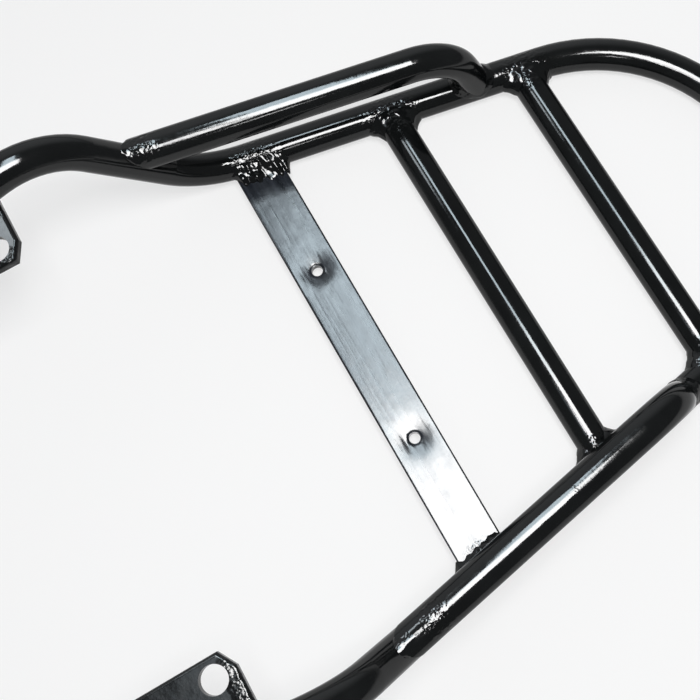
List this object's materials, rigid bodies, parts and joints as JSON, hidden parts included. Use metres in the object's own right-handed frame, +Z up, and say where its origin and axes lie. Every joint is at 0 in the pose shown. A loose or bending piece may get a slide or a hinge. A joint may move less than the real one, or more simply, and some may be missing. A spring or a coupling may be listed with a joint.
{
  "type": "motorcycle luggage rack",
  "caption": "Welded steel tube rack for carrying luggage behind a motorcycle seat, with grab rails, crossbars, a drilled strap and raised front legs with mount plates.",
  "frame": {"origin": "middle of the deck strap, between its two bolt holes and in the plane of the deck tube's axis", "axes": "+X forward to the mount plates, +Y to the rack's left, +Z up from the deck as the rack lies in the picture"},
  "size_m": [0.4725, 0.328, 0.103],
  "materials": {
    "black_paint": "gloss black paint over steel"
  },
  "bodies": {
    "root": {"hoop_tube": "black_paint", "grab_rail_left": "black_paint", "grab_rail_right": "black_paint", "crossbar_front": "black_paint", "crossbar_rear": "black_paint", "deck_strap": "black_paint", "mount_plate_left": "black_paint", "mount_plate_right": "black_paint", "weld_rail_front_left": "black_paint", "weld_rail_front_right": "black_paint", "weld_rail_foot_left": "black_paint", "weld_rail_foot_right": "black_paint", "weld_crossbar_front_left": "black_paint", "weld_crossbar_front_right": "black_paint", "weld_crossbar_rear_left": "black_paint", "weld_crossbar_rear_right": "black_paint", "weld_strap_left": "black_paint", "weld_strap_right": "black_paint", "weld_plate_left": "black_paint", "weld_plate_right": "black_paint"}
  },
  "joints": []
}
